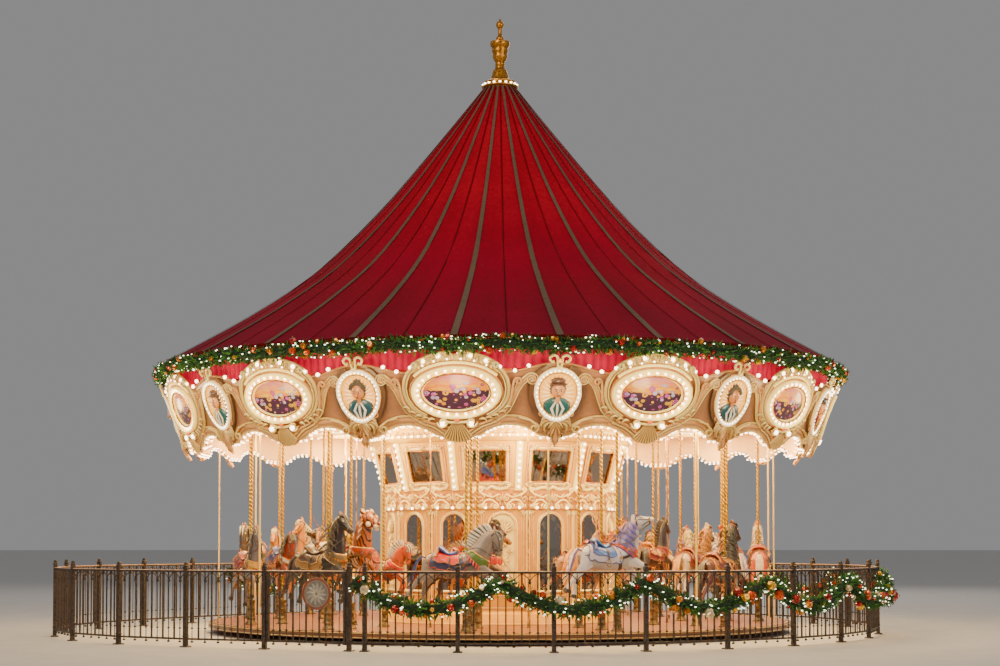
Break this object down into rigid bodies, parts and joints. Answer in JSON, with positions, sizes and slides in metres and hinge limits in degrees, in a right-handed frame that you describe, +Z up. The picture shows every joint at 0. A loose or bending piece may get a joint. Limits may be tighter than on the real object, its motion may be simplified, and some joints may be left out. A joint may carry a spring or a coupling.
{
  "type": "fairground carousel",
  "caption": "Fairground carousel with jumping figures on brass poles, mirrored drum, lit rounding boards, red tent canopy and iron fence.",
  "frame": {"origin": "middle of the underside of the mast's foot plate, on the ground", "axes": "+Z up the centre mast, -Y towards the front, where the gate stands left of the middle, +X to the right"},
  "size_m": [15.3836, 14.6028, 11.79],
  "materials": {
    "machine_steel": "satin dark paint",
    "fence_iron": "dark brown-black paint, worn satin",
    "garland_green": "matte needles",
    "deck_board": "painted boards, pinkish tan, satin",
    "fascia_wood": "varnished brown",
    "cream_panel": "peach cream enamel on glass fibre",
    "gold_leaf": "gold leaf and cream relief",
    "mirror_glass": "silvered",
    "ceiling_white": "warm white gloss",
    "board_paint": "tan beige enamel with cream mouldings",
    "canopy_red": "coated canvas, matte",
    "figure_paint": "painted and varnished",
    "pole_brass": "polished, twisted",
    "lamp_bulb": "lit warm white",
    "ball_ornament": "glossy red, copper and gold",
    "tack_paint": "painted saddles and straps"
  },
  "bodies": {
    "machine_base": {"base_frame": "machine_steel", "centre_mast": "machine_steel", "fence_section_1": "fence_iron", "fence_section_2": "fence_iron", "fence_section_3": "fence_iron", "fence_garland": "garland_green"},
    "gate": {"gate_leaf": "fence_iron"},
    "turntable": {"platform_deck": "deck_board", "platform_fascia": "fascia_wood", "drum_wall": "cream_panel", "drum_scroll_band": "gold_leaf", "mirror_crown": "mirror_glass", "sweep_frame": "machine_steel", "ceiling": "ceiling_white", "rounding_boards_1": "board_paint", "rounding_boards_2": "board_paint", "rounding_boards_3": "board_paint", "valance": "canopy_red", "canopy": "canopy_red", "rim_garland": "garland_green", "finial": "gold_leaf"},
    "jumpers_a": {"outer_figure_02": "figure_paint", "outer_figure_06": "figure_paint", "outer_figure_10": "figure_paint", "middle_figure_02": "figure_paint", "middle_figure_07": "figure_paint", "middle_figure_12": "figure_paint", "inner_figure_03": "figure_paint", "inner_figure_07": "figure_paint", "inner_figure_11": "figure_paint"},
    "jumpers_b": {"outer_figure_03": "figure_paint", "outer_figure_07": "figure_paint", "outer_figure_11": "figure_paint", "middle_figure_04": "figure_paint", "middle_figure_08": "figure_paint", "middle_figure_10": "figure_paint", "inner_figure_04": "figure_paint", "inner_figure_08": "figure_paint", "inner_figure_12": "figure_paint"},
    "jumpers_c": {"outer_figure_01": "figure_paint", "outer_figure_05": "figure_paint", "outer_figure_09": "figure_paint", "middle_figure_01": "figure_paint", "middle_figure_05": "figure_paint", "middle_figure_09": "figure_paint", "inner_figure_01": "figure_paint", "inner_figure_05": "figure_paint", "inner_figure_09": "figure_paint"},
    "jumpers_d": {"outer_figure_04": "figure_paint", "outer_figure_08": "figure_paint", "outer_figure_12": "figure_paint", "middle_figure_03": "figure_paint", "middle_figure_06": "figure_paint", "middle_figure_11": "figure_paint", "inner_figure_02": "figure_paint", "inner_figure_06": "figure_paint", "inner_figure_10": "figure_paint"}
  },
  "joints": [
    {"name": "carousel_turn", "type": "hinge", "parent": "machine_base", "child": "turntable", "pos_m": [0, 0, 0], "axis": [0, 0, 1], "continuous": true},
    {"name": "gate_hinge", "type": "hinge", "parent": "machine_base", "child": "gate", "pos_m": [-2.38831, -6.63042, 0.115], "axis": [0, 0, 1], "range_deg": [0, 90]},
    {"name": "jump_a", "type": "slide", "parent": "turntable", "child": "jumpers_a", "axis": [0, 0, 1], "range_m": [-0.32, 0.08]},
    {"name": "jump_b", "type": "slide", "parent": "turntable", "child": "jumpers_b", "axis": [0, 0, 1], "range_m": [-0.08, 0.32]},
    {"name": "jump_c", "type": "slide", "parent": "turntable", "child": "jumpers_c", "axis": [0, 0, 1], "range_m": [-0.2, 0.2]},
    {"name": "jump_d", "type": "slide", "parent": "turntable", "child": "jumpers_d", "axis": [0, 0, 1], "range_m": [-0.2, 0.2]}
  ],
  "couplings": [
    {"joint": "jump_b", "follows": "jump_a", "ratio": -1},
    {"joint": "jump_d", "follows": "jump_c", "ratio": -1}
  ]
}
